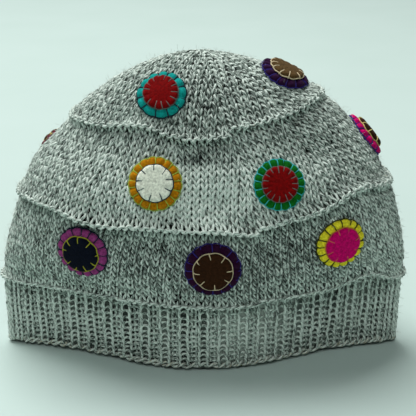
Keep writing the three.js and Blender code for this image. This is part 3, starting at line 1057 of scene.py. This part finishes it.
class Wardrobe:
    """All finishes, made once."""

    def __init__(self) -> None:
        """Builds the node groups and the materials."""
        marled, felt = marled_group(), felt_group()
        wool = {"bump": 0.5, "bump_depth": 0.0006, "sheen": 0.12, "specular": 0.15}
        self.yarn = YarnFinish("marled_yarn", **wool).make(marled)
        self.edge_yarn = YarnFinish(
            "cast_on_yarn", fleck_share=0.14, middle=from_hex("#a9b3aa"), dark=from_hex("#3d443f"), **wool
        ).make(marled)
        # The wool behind the stitches is painted dark as the shade in the gaps between them: darkest behind
        # the crown, less dark behind the ribbing
        self.inner = YarnFinish(
            "wool_ground", light=from_hex("#6b736c"), middle=from_hex("#2f3632"), dark=from_hex("#161a18"),
            twisted=False, **wool
        ).make(marled)
        self.rib_painted_shade_ground = YarnFinish(
            "rib_ground", light=from_hex("#a9b3ab"), middle=from_hex("#6a746d"), dark=from_hex("#363d39"),
            twisted=False, **wool
        ).make(marled)
        self.hair = FeltFinish("wool_hair", colour=from_hex("#c6cdc4"), mottle=0.3, **wool).make(felt)
        nap = {"bump": 0.5, "bump_depth": 0.0005, "sheen": 0.04, "specular": 0.06}
        self.felts = {
            f: FeltFinish(f"felt_{f.name.lower()}", colour=from_hex(f.value), **nap).make(felt) for f in Felt
        }
        fine = {"bump": 0.3, "bump_depth": 0.0002, "sheen": 0.04, "specular": 0.12, "mottle": 0.4}
        self.threads = {
            t: FeltFinish(f"thread_{t.name.lower()}", colour=from_hex(t.value), **fine).make(felt)
            for t in Thread
        }


# Knit


def mirrored(half: Sequence[tuple[float, float, float, float]]) -> np.ndarray:
    """Path of a whole stitch from its sinker and its left half up to the top.

    Args:
        half: Shares of the width and of the course, depth and thickness, from the sinker to the top.

    Returns:
        The path, without the sinker on its right.
    """
    left = np.array(half)
    top = 1 if left[-1, 0] == 0 else 0
    right = left[1 : len(left) - top][::-1] * (-1, 1, 1, 1)
    return np.concatenate([left, right])


# Painted shade by depth: how much lighter the yarn is made for each step of depth out of the knit, so that
# its deep parts are painted darker, as shade where the yarns hide one another
PAINTED_DEPTH_SHADE = 0.75

# Half of each kind of stitch: shares of its width and of a course, depth, and thickness
PATHS = {
    Wale.KNIT: mirrored((
        (-0.50, -0.30, -1.25, 0.7),
        (-0.14, -0.16, -0.6, 0.85),
        (-0.10, 0.16, 0.45, 1.0),
        (-0.22, 0.60, 0.85, 1.1),
        (-0.37, 1.02, 0.45, 1.0),
        (-0.30, 1.30, -0.7, 0.8),
        (0.0, 1.36, -1.3, 0.7),
    )),
    Wale.UNDER_PURL: mirrored((
        (-0.50, -0.30, -1.25, 0.7),
        (-0.14, -0.16, -0.6, 0.85),
        (-0.10, 0.16, 0.45, 1.0),
        (-0.24, 0.58, 0.7, 1.0),
        (-0.38, 0.95, 0.4, 0.95),
        (-0.27, 1.24, 1.2, 1.0),
        (0.0, 1.36, 1.55, 1.1),
    )),
    Wale.PURL: mirrored((
        (-0.50, -0.10, 1.55, 1.2),
        (-0.26, -0.02, 1.1, 1.15),
        (-0.13, 0.26, 0.5, 1.05),
        (-0.24, 0.64, 0.7, 1.15),
        (-0.37, 1.02, 0.4, 1.05),
        (-0.26, 1.26, 0.0, 1.0),
        (0.0, 1.32, -0.2, 1.0),
    )),
    Wale.RIB_KNIT: mirrored((
        (-0.56, -0.24, -0.5, 0.85),
        (-0.44, 0.0, 0.3, 1.05),
        (-0.40, 0.36, 0.8, 1.15),
        (-0.43, 0.76, 0.85, 1.15),
        (-0.38, 1.08, 0.3, 1.0),
        (-0.14, 1.2, -0.4, 0.9),
    )),
    Wale.RIB_PURL: mirrored((
        (-0.42, -0.2, -0.4, 0.85),
        (-0.2, -0.02, 0.1, 1.0),
        (-0.2, 0.34, -0.5, 0.9),
        (-0.28, 0.66, -0.5, 0.9),
        (-0.24, 0.94, 0.0, 0.95),
        (0.0, 1.06, 0.3, 1.1),
    )),
}


@dataclass
class Stitch:
    """One stitch of a course, with its left and right edges as functions of level."""

    wale: Wale
    left: Callable[[np.ndarray], np.ndarray]
    right: Callable[[np.ndarray], np.ndarray]
    proud: float = 0.0


@dataclass
class Knit:
    """Yarn of the hat, course by course.

    Attributes:
        widest_level: Level at which a sector of the crown holds all its stitches.
        top_share: Share of the courses that are knitted, under the drawn-together tip.
        band_starts: Lowest course of each band that becomes a piece.
        unevenness: How far stitches differ in width, height, depth and thickness.
        leg_contrast: How far the tones of the two legs of a stitch differ.
    """

    fabric: Fabric
    wardrobe: Wardrobe
    strand: bpy.types.NodeTree
    yarn_radius: float = 0.845
    depth: float = 1.2
    middle: float = -0.7
    sectors: int = 12
    stitches_per_sector: int = 11
    rib_pairs: int = 52
    rib_depth: float = 0.4
    welt_courses: tuple[int, ...] = tuple(int(c) for c in WELTS[:, 0])
    sides: int = 5
    widest_level: float = 0.17
    top_share: float = 0.985
    band_starts: tuple[int, ...] = (0, 8, 15, 23, 32)
    unevenness: tuple[float, ...] = (0.035, 0.06, 0.14, 0.07)
    leg_contrast: float = 0.6
    random: np.random.Generator = field(default_factory=lambda: np.random.default_rng(SEED))

    def wales_in_sector(self, level: np.ndarray) -> np.ndarray:
        """How many stitches a sector of the crown holds at some levels, as a real number."""
        most = self.sectors * self.stitches_per_sector
        widest = self.fabric.way_round(np.array(self.widest_level)) / most
        share = self.fabric.way_round(level) / self.sectors / widest
        return np.clip(share, 0.5, self.stitches_per_sector)

    def crown_course(self, course: int) -> list[Stitch]:
        """Stitches of one course of the crown.

        Args:
            course: Number of the course, 0 over the brim.

        Returns:
            Its stitches in order.
        """
        middle = (course + 0.5) * self.fabric.pitch
        count = max(1, round(float(self.wales_in_sector(np.array(middle)))))
        wale = Wale.KNIT
        if course in self.welt_courses:
            wale = Wale.PURL
        elif course + 1 in self.welt_courses:
            wale = Wale.UNDER_PURL
        return [
            Stitch(
                wale,
                partial(self.sector_edge, sector, i),
                partial(self.sector_edge, sector, i + 1, last=i + 1 == count),
            )
            for sector in range(self.sectors)
            for i in range(count)
        ]

    def sector_edge(self, sector: int, wale: int, level: np.ndarray, last: bool = False) -> np.ndarray:
        """Edge between two stitches of a sector of the crown.

        Args:
            sector: Number of the sector.
            wale: How many stitches of the sector come before the edge.
            level: Levels up the hat.
            last: Whether the edge ends the sector.

        Returns:
            Shares of the way round.
        """
        inside = np.ones_like(level) if last else np.minimum(wale / self.wales_in_sector(level), 1)
        return (sector + inside) / self.sectors

    def rib_edge(self, column: int, level: np.ndarray) -> np.ndarray:
        """Share of the way round of the edge before a column of the ribbing, at some levels."""
        return np.full(np.shape(level), column / (2 * self.rib_pairs))

    def brim_course(self) -> list[Stitch]:
        """Stitches of one course of the ribbing: a raised and a sunk column in turn.

        Returns:
            Its stitches in order.
        """
        stitches = []
        for i in range(2 * self.rib_pairs):
            raised = i % 2 == 0
            wale, proud = (Wale.RIB_KNIT, self.rib_depth) if raised else (Wale.RIB_PURL, -self.rib_depth)
            stitches.append(Stitch(wale, partial(self.rib_edge, i), partial(self.rib_edge, i + 1), proud))
        return stitches

    def course_path(
        self, stitches: list[Stitch], level: float, pitch: float
    ) -> tuple[np.ndarray, np.ndarray, np.ndarray]:
        """Yarn of one course.

        Args:
            stitches: Its stitches in order.
            level: Level of its base line.
            pitch: Level that one course takes.

        Returns:
            Points in millimetres, thickness at each, and the lightness of each: the legs' own differences,
            painted shade on the deep parts, and painted light and shade by place.
        """
        shares, levels, lifts, swells, tones = [], [], [], [], []
        before = stitches[-1]
        for stitch in stitches:
            path = PATHS[stitch.wale].copy()
            path[0, 2] = (PATHS[before.wale][0, 2] + path[0, 2]) / 2
            wobble = self.random.normal(size=4) * self.unevenness
            path[1:, :3] += wobble[:3]
            swell = 1 + wobble[3]
            v = level + path[:, 1] * pitch
            left, right = stitch.left(v), stitch.right(v)
            shares.append((left + right) / 2 + path[:, 0] * (right - left))
            levels.append(v)
            proud = np.full(len(path), stitch.proud)
            proud[0] = (stitch.proud + before.proud) / 2
            lifts.append(self.middle + path[:, 2] * self.depth + proud)
            swells.append(path[:, 3] * swell)
            legs = self.random.normal(size=2) * self.leg_contrast
            # Each leg gets its own lightness at random, and the deep parts of the path get painted shade
            tones.append(np.where(path[:, 0] < 0, *legs) + PAINTED_DEPTH_SHADE * (path[:, 2] - 0.1))
            before = stitch
        share, at = np.concatenate(shares), np.concatenate(levels)
        points = self.fabric.knit_place(share, at, np.concatenate(lifts))
        # Painted light and shade by place is added to each point's lightness
        return points, np.concatenate(swells), np.concatenate(tones) + self.fabric.tone(share, at)

    def band(self, name: str, courses: list[tuple[list[Stitch], float, float]]) -> None:
        """Knits several courses with one yarn and makes them a piece.

        Args:
            name: Name of the piece.
            courses: Stitches, base level and pitch of each course, from the top one down.
        """
        parts = [self.course_path(*course) for course in courses]
        points, swell, tone = (np.concatenate(p) for p in zip(*parts))
        points[:, 2] = np.maximum(points[:, 2], self.yarn_radius)
        self.strand_piece(name, [points], swell, tone, self.wardrobe.yarn)

    def strand_piece(
        self, name: str, lines: list[np.ndarray], swell: np.ndarray, tone: np.ndarray,
        material: bpy.types.Material,
    ) -> None:
        """Makes a piece of yarn from lines of points.

        Args:
            name: Name of the piece.
            lines: Lines of points in millimetres.
            swell: Thickness at each point.
            tone: Lightness at each point, painted light and shade included.
            material: Its finish.
        """
        steps = [np.linalg.norm(np.diff(line, axis=0, prepend=line[:1]), axis=1) for line in lines]
        piece = mesh_object(name, np.concatenate(lines), [], line_edges(lines))
        float_attribute(piece.data, "swell", swell)
        float_attribute(piece.data, "tone", tone)
        float_attribute(piece.data, "along", np.concatenate([np.cumsum(step) for step in steps]))
        grown(piece, self.strand, Radius=self.yarn_radius * METRES, Sides=self.sides, Material=material)
        ride(piece)

    def build_crown(self) -> None:
        """Knits the crown in bands, each one yarn that climbs like a screw."""
        pitch = self.fabric.pitch
        ends = (*self.band_starts[1:], math.floor(self.fabric.courses * self.top_share) + 1)
        for number, (low, end) in enumerate(zip(self.band_starts, ends), 1):
            courses = [(self.crown_course(c), c * pitch, pitch) for c in reversed(range(low, end))]
            self.band(f"crown_knit_{number}", courses)

    def build_brim(self) -> None:
        """Knits the ribbing of the brim."""
        pitch = self.fabric.brim_pitch
        courses = [(self.brim_course(), -k * pitch, pitch) for k in range(1, self.fabric.brim_courses)]
        self.band("brim_ribbing", courses)

    def build_cast_on(self) -> None:
        """Lays the chain of the cast-on edge: two strands twisted round each other along the rim."""
        count = 2 * self.rib_pairs
        per_stitch = 6
        thick, swing, middle, seat = 1.75, 1.1, 3.0, -0.4
        lightness, contrast, unevenness = 1.3, 0.5, 0.06
        share = np.arange(count * per_stitch + 1) / (count * per_stitch)
        way = 2 * np.pi * share
        angle = way * count / 2 + 0.8 * np.sin(way * 7)
        wave = 0.5 * np.sin(way * 9 + 1) + 0.4 * np.sin(way * 23)
        lines = []
        for phase in (0.0, np.pi):
            v = RIM_LEVEL + (middle + swing * np.sin(angle + phase) + np.abs(wave)) / self.fabric.length
            line = self.fabric.knit_place(share, v, seat + swing * np.cos(angle + phase) + wave)
            line[:, 2] = np.maximum(line[:, 2], self.yarn_radius * thick)
            lines.append(line)
        total = sum(len(line) for line in lines)
        tones = self.random.normal(size=total // per_stitch + 1) * contrast
        tone = lightness + np.repeat(tones, per_stitch)[:total]
        swell = thick * (1 + unevenness * self.random.normal(size=total))
        self.strand_piece("cast_on_edge", lines, swell, tone, self.wardrobe.edge_yarn)

    def wall(self, levels: np.ndarray, sides: int, lift: np.ndarray | float) -> list[np.ndarray]:
        """Rings of points over the knit.

        Args:
            levels: Level of each ring.
            sides: Points in each ring.
            lift: Millimetres out of the knit's middle face.

        Returns:
            The rings.
        """
        share = np.arange(sides) / sides
        return [self.fabric.knit_place(share, np.full(sides, level), lift) for level in levels]

    def build_ground(self) -> None:
        """Makes the closed wall of wool behind the stitches, in place of the plain solids, with its finish
        painted dark as the shade between the stitches.
        """
        fabric = self.fabric
        outside, inside = -1.7, -fabric.thickness
        rim_rise, brim_fill, tip_level, tip_rise = 1.2, 0.5, 0.999, 0.6
        sides = 2 * 2 * self.rib_pairs
        levels = np.concatenate([np.arange(0, 44) * fabric.pitch, [0.962, 0.982]])
        rings = self.wall(levels[::-3], sides, inside) + self.wall(levels, sides, outside)
        ends = [fabric.place(0.0, tip_level, lift) for lift in (inside, outside + tip_rise)]
        crown = mesh_object("crown_ground", np.concatenate([*rings, ends]), closed_faces(len(rings), sides))
        crown.data.materials.append(self.wardrobe.inner)
        ride(crown, ["crown"])
        per_column = 4
        sides = per_column * 2 * self.rib_pairs
        rib = self.rib_depth * np.where((np.arange(sides) // per_column) % 2 == 0, 1, -1)
        levels = np.linspace(RIM_LEVEL + rim_rise / fabric.length, 0, 7)
        rings = self.wall(levels[::-1], sides, inside) + self.wall(levels, sides, outside + brim_fill + rib)
        brim = mesh_object("brim_ground", np.concatenate(rings), ring_faces(len(rings), sides, looped=True))
        brim.data.materials.append(self.wardrobe.rib_painted_shade_ground)
        ride(brim, ["ribbed_brim"])

    def build_fuzz(self, tree: bpy.types.NodeTree) -> None:
        """Scatters loose hairs over the knit.

        Args:
            tree: The fuzz tree.
        """
        sides, height = 240, 0.6
        levels = np.concatenate([np.linspace(RIM_LEVEL + 0.02, 0, 8), np.linspace(0.02, 0.98, 46)])
        rings = self.wall(levels, sides, height)
        hairs = mesh_object("wool_fuzz", np.concatenate(rings), ring_faces(len(rings), sides))
        grown(
            hairs, tree, Density=90000.0, Length=3.5 * METRES, Radius=0.05 * METRES, Lean=1.25, Seed=SEED,
            Material=self.wardrobe.hair,
        )
        ride(hairs)


# Felt patches

# Section of a felt round from its lower face over the edge: shares of the radius, of the thickness, and of
# how far a stitch pulls it in
PILLOW = (
    (0.35, 0, 0), (0.8, 0, 0), (0.95, 0.02, 0.5), (0.99, 0.3, 1), (1.0, 0.6, 1), (0.98, 0.86, 1),
    (0.92, 1.05, 1), (0.84, 1.12, 0.9), (0.74, 1.08, 0.6), (0.6, 1.0, 0.2), (0.35, 1.0, 0),
)

# Spoke of a blanket stitch from the foot of the edge over it: shares of the felt's height and of the thread
SPOKE_RISE = np.array([0.15, 0.5, 0.86, 1.05, 1.06, 1.0, 0.75])
SPOKE_SWELL = np.array([0.9, 1, 1, 1, 1, 0.9, 0.6])

# How far a stitch pulls the felt in at some shares of the radius
PULLED_REACH = (0.35, 0.6, 0.74, 0.84, 1)
PULLED_SHARE = (0, 0.2, 0.6, 0.9, 1)


@dataclass(frozen=True)
class Round:
    """Size of one felt round, and how the stitches pull in its edge."""

    radius: float
    base: float
    thickness: float
    stitches: int
    pull: float
    turned: float
    crown: float = 0.0
    side_pull: float = 0.45


@dataclass(frozen=True)
class Sewing:
    """Thread of the blanket stitches around a round, and how it lies."""

    thread: Thread
    inward: float
    thick: float
    ring: float
    ring_swell: float


@dataclass
class Patch:
    """A felt disc with a smaller dot on it, both sewn down with blanket stitches."""

    name: str
    turn: float
    level: float
    size: float
    felt: Felt
    dot: Felt
    disc_thread: Thread
    dot_thread: Thread
    disc_stitches: int
    dot_stitches: int
    ring: float = 1.0
    dot_ring: float = 0.5
    disc_radius: float = 15.2
    disc_thickness: float = 3.0
    dot_radius: float = 10.6
    dot_thickness: float = 2.3
    seat: float = 0.45
    sunk: float = 0.15
    disc_pull: float = 1.25
    dot_pull: float = 0.6
    dot_crown: float = 0.35

    def place(self, fabric: Fabric, reach: np.ndarray, angle: np.ndarray, lift: np.ndarray) -> np.ndarray:
        """Points over the fabric around the patch's middle.

        Args:
            fabric: The fabric.
            reach: Millimetres from the middle.
            angle: Angles around it.
            lift: Millimetres over the fabric.

        Returns:
            Points in millimetres.
        """
        turns, levels = fabric.walk(self.turn, self.level, reach * np.cos(angle), reach * np.sin(angle))
        return fabric.place(turns, levels, lift)

    def felt_round(self, fabric: Fabric, name: str, felt: Round) -> bpy.types.Object:
        """Padded round whose edge is pulled in by each stitch.

        Args:
            fabric: The fabric.
            name: Name of the piece.
            felt: Size of the round.

        Returns:
            The piece.
        """
        sides = 8 * felt.stitches
        angle = felt.turned + 2 * np.pi * np.arange(sides) / sides
        notch = np.abs(np.cos((angle - felt.turned) * felt.stitches / 2)) ** 5
        rings = []
        for share, rise, yielding in PILLOW:
            pulled = felt.pull * notch * yielding
            reach = felt.radius * share - pulled * (felt.side_pull if rise < 1 else 0)
            lift = felt.base + felt.thickness * rise - pulled * min(rise, 1)
            lift = lift + felt.crown * (1 - share * share) * (1 if rise >= 1 else 0)
            rings.append(self.place(fabric, reach, angle, lift))
        ends = [
            self.place(fabric, np.array(0.0), np.array(0.0), np.array(lift))
            for lift in (felt.base, felt.base + felt.thickness + felt.crown)
        ]
        return mesh_object(name, np.concatenate([*rings, ends]), closed_faces(len(rings), sides))

    def spoke(
        self, fabric: Fabric, felt: Round, sewing: Sewing, angle: float, random: np.random.Generator
    ) -> np.ndarray:
        """One stitch over the edge of a round.

        Args:
            fabric: The fabric.
            felt: The round.
            sewing: How it is sewn.
            angle: Where the stitch stands.
            random: Source of the small differences between the stitches.

        Returns:
            Points of the thread in millimetres.
        """
        long = sewing.inward * (1 + 0.12 * random.normal())
        skew = 0.1 * random.normal() * 2 * np.pi / felt.stitches
        radius = felt.radius
        reach = np.array([radius + 0.1, radius + 0.2, radius - 0.2, radius - 1.0, radius - 0.6 * long,
                          radius - long, radius - long - 0.3])
        pulled = felt.pull * np.interp(reach / radius, PULLED_REACH, PULLED_SHARE) * np.minimum(SPOKE_RISE, 1)
        lift = felt.base + felt.thickness * SPOKE_RISE - 0.8 * pulled + sewing.thick * 0.45
        angles = angle + skew * np.linspace(0, 1, len(SPOKE_RISE))
        return self.place(fabric, reach - 0.35 * pulled * (SPOKE_RISE < 1), angles, lift)

    def stitches(
        self, fabric: Fabric, name: str, tree: bpy.types.NodeTree, wardrobe: Wardrobe, felt: Round,
        sewing: Sewing, random: np.random.Generator,
    ) -> None:
        """Blanket stitches around an edge: a thread along it, and spokes from it over the felt.

        Args:
            fabric: The fabric.
            name: Name of the piece.
            tree: The strand tree.
            wardrobe: The finishes.
            felt: The round that is sewn on.
            sewing: How it is sewn.
            random: Source of the small differences between the stitches.
        """
        count = felt.stitches
        spokes = felt.turned + 2 * np.pi / count * (np.arange(count) + 0.09 * random.normal(size=count))
        lines = [self.spoke(fabric, felt, sewing, angle, random) for angle in spokes]
        swells = [SPOKE_SWELL] * count
        around = np.linspace(0, 2 * np.pi, 6 * count + 1)
        dip = np.abs(np.cos((around - felt.turned) * count / 2)) ** 4
        reach = felt.radius + 0.15 + sewing.thick * 0.4 * sewing.ring_swell - 0.45 * felt.pull * dip
        lift = felt.base + felt.thickness * sewing.ring + 0.25 * np.sin(around * count)
        lines.append(self.place(fabric, reach, around, lift))
        swells.append(np.full(len(around), 1.15 * sewing.ring_swell))
        piece = mesh_object(name, np.concatenate(lines), [], line_edges(lines))
        float_attribute(piece.data, "swell", np.concatenate(swells))
        grown(piece, tree, Radius=sewing.thick * METRES, Sides=5, Material=wardrobe.threads[sewing.thread])
        ride(piece)

    def build(self, fabric: Fabric, wardrobe: Wardrobe, tree: bpy.types.NodeTree) -> None:
        """Builds the disc, the dot and their stitches.

        Args:
            fabric: The fabric.
            wardrobe: The finishes.
            tree: The strand tree.
        """
        random = np.random.default_rng(SEED + sum(map(ord, self.name)))
        turned, dot_turned = random.uniform(0, 1, 2)
        disc = Round(
            self.disc_radius * self.size, self.seat, self.disc_thickness, self.disc_stitches, self.disc_pull,
            turned,
        )
        dot = Round(
            self.dot_radius * self.size, self.seat + self.disc_thickness - self.sunk, self.dot_thickness,
            self.dot_stitches, self.dot_pull, dot_turned, self.dot_crown,
        )
        for kind, felt, cloth in (("disc", disc, self.felt), ("dot", dot, self.dot)):
            piece = self.felt_round(fabric, f"{self.name}_{kind}", felt)
            piece.data.materials.append(wardrobe.felts[cloth])
            ride(piece, [f"felt_{kind}_{self.name}"])
        disc_sewing = Sewing(self.disc_thread, disc.radius - dot.radius, 0.34, 0.3, self.ring)
        dot_sewing = Sewing(self.dot_thread, 3.1, 0.32, 0.45 * self.dot_ring, self.dot_ring)
        for kind, felt, sewing in (("disc", disc, disc_sewing), ("dot", dot, dot_sewing)):
            self.stitches(fabric, f"{self.name}_{kind}_stitches", tree, wardrobe, felt, sewing, random)


def patches() -> list[Patch]:
    """All patches of the hat, from the low row to the top one.

    Returns:
        The patches.
    """
    f, t = Felt, Thread
    rows = (
        ("low_left", 0.65, 0.182, 0.96, f.VIOLET, f.NAVY, t.TEAL, t.OLIVE, 16, 9, 1.5, 1.0),
        ("low_front", 0.756, 0.1655, 1, f.AUBERGINE, f.UMBER, t.INDIGO, t.CREAM, 16, 8, 1.0, 1.0),
        ("low_right", 0.8635, 0.1995, 0.94, f.YELLOW, f.MAGENTA, t.MOSS, t.CORAL, 16, 8, 1.0, 0.8),
        ("low_back_1", 0.08, 0.19, 0.96, f.ORANGE, f.CREAM, t.LIME, t.DARK_TEAL, 17, 9),
        ("low_back_2", 0.2, 0.18, 0.98, f.TURQUOISE, f.RED, t.NAVY, t.GREY, 12, 14),
        ("low_back_3", 0.311, 0.185, 0.95, f.YELLOW, f.UMBER, t.MOSS, t.CREAM, 15, 9),
        ("low_back_4", 0.425, 0.185, 0.96, f.GREEN, f.MAGENTA, t.CYAN, t.CORAL, 17, 8),
        ("middle_left", 0.708, 0.4635, 0.93, f.ORANGE, f.CREAM, t.LIME, t.DARK_TEAL, 17, 9, 1.6),
        ("middle_front", 0.8185, 0.429, 0.89, f.GREEN, f.RED, t.CYAN, t.GREY, 18, 15),
        ("middle_right", 0.015, 0.478, 0.9, f.MAGENTA, f.UMBER, t.INDIGO, t.STRAW, 16, 9),
        ("middle_back_1", 0.182, 0.455, 0.92, f.VIOLET, f.YELLOW, t.TEAL, t.MOSS, 16, 9),
        ("middle_back_2", 0.307, 0.46, 0.9, f.AUBERGINE, f.TURQUOISE, t.INDIGO, t.CREAM, 16, 9),
        ("middle_far_left", 0.424, 0.446, 0.82, f.BURGUNDY, f.OLIVE, t.NAVY, t.STRAW, 16, 9),
        ("top_left", 0.6875, 0.7705, 0.89, f.TURQUOISE, f.RED, t.NAVY, t.GREY, 12, 14),
        ("top_right", 0.982, 0.76, 0.93, f.PURPLE, f.OLIVE, t.INDIGO, t.CREAM, 16, 11, 1.0, 1.0),
        ("top_back", 0.188, 0.772, 0.9, f.TAN, f.NAVY, t.MOSS, t.LIME, 16, 9),
        ("top_far_left", 0.325, 0.754, 0.9, f.MAGENTA, f.GREEN, t.NAVY, t.CYAN, 15, 10),
    )
    return [Patch(*row) for row in rows]


# Studio


@dataclass
class Studio:
    """Camera, floor and light. The camera stands where the photograph was taken from."""

    elevation: float = 20
    distance: float = 575
    aim_height: float = 89
    lit_height: float = 60
    aside: float = 2.95
    below: float = 2.07
    focal_share: float = 974.6 / 416
    sensor: float = 36

    def build_camera(self) -> None:
        """Places the camera."""
        tilt = math.radians(self.elevation)
        back = Vector((0, -math.cos(tilt), math.sin(tilt)))
        up = Vector((0, math.sin(tilt), math.cos(tilt)))
        eye = Vector((self.aside, 0, self.aim_height)) + back * self.distance - up * self.below
        data = bpy.data.cameras.new("camera")
        data.sensor_width = self.sensor
        data.lens = self.focal_share * self.sensor
        data.clip_start, data.clip_end = 0.01, 50
        camera = bpy.data.objects.new("camera", data)
        turn = (-back).to_track_quat("-Z", "Y").to_matrix().to_4x4()
        camera.matrix_world = Matrix.Translation(eye * METRES) @ turn
        bpy.context.scene.collection.objects.link(camera)
        bpy.context.scene.camera = camera

    def build_floor(self) -> None:
        """Lays the pale floor."""
        reach = 6000
        corners = [(-reach, -reach, 0), (reach, -reach, 0), (reach, reach, 0), (-reach, reach, 0)]
        floor = mesh_object("floor", np.array(corners, float), [(0, 1, 2, 3)])
        material = bpy.data.materials.new("pale_floor")
        material.use_nodes = True
        shader = material.node_tree.nodes["Principled BSDF"]
        t = NodeTree(material.node_tree)
        place = t.add("ShaderNodeTexCoord")
        cloud = t.add("ShaderNodeTexNoise", {"Vector": place.outputs["Object"], "Scale": 7.0, "Detail": 2.0})
        tint = t.add("ShaderNodeMix", data_type="RGBA")
        t.tree.links.new(cloud.outputs[0], tint.inputs["Factor"])
        tint.inputs[6].default_value = (*from_hex("#b6c9c3"), 1)
        tint.inputs[7].default_value = (*from_hex("#bccec9"), 1)
        t.tree.links.new(tint.outputs[2], shader.inputs["Base Color"])
        shader.inputs["Roughness"].default_value = 0.85
        shader.inputs["Specular IOR Level"].default_value = 0.1
        floor.data.materials.append(material)
        floor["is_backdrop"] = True

    def lamp(self, name: str, place: tuple, size: float, power: float, colour: Colour) -> None:
        """Adds a soft square lamp that points at the hat.

        Args:
            name: Its name.
            place: Where it stands, in millimetres.
            size: Its side, in millimetres.
            power: Its power in watts.
            colour: Its colour.
        """
        data = bpy.data.lights.new(name, "AREA")
        data.size, data.energy, data.color = size * METRES, power, colour
        lamp = bpy.data.objects.new(name, data)
        towards = Vector((0, 0, self.lit_height)) - Vector(place)
        turn = towards.to_track_quat("-Z", "Y").to_matrix().to_4x4()
        lamp.matrix_world = Matrix.Translation(Vector(place) * METRES) @ turn
        bpy.context.scene.collection.objects.link(lamp)

    def build_light(self) -> None:
        """Sets the soft light from behind and from the upper left, and the pale surroundings."""
        world = bpy.data.worlds.new("surroundings")
        world.use_nodes = True
        background = world.node_tree.nodes["Background"]
        background.inputs["Color"].default_value = (*from_hex("#e4ecea"), 1)
        background.inputs["Strength"].default_value = 0.13
        bpy.context.scene.world = world
        self.lamp("window", (-750, 950, 3000), 2300, 140, (1.0, 1.0, 0.99))
        self.lamp("front", (-100, -1100, 1500), 800, 8, (0.98, 1.0, 1.0))
        bpy.context.scene.view_settings.view_transform = "Standard"
        bpy.context.scene.view_settings.look = "None"


def write_sizes() -> None:
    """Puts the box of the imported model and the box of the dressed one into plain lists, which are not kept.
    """
    boxes = {"cad": CAD_BOX, "visual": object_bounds()}
    {name: [list(corner) for corner in box] for name, box in boxes.items()}


def main() -> None:
    """Builds the studio and the hat, in order."""
    logging.basicConfig(level=logging.INFO, format="%(name)s %(message)s")
    studio = Studio()
    studio.build_camera()
    studio.build_floor()
    studio.build_light()
    fabric = Fabric()
    wardrobe = Wardrobe()
    strand = strand_tree()
    knit = Knit(fabric, wardrobe, strand)
    knit.build_ground()
    knit.build_brim()
    knit.build_cast_on()
    knit.build_crown()
    knit.build_fuzz(fuzz_tree())
    for patch in patches():
        patch.build(fabric, wardrobe, strand)
    write_sizes()


if __name__ == "__main__":
    main()
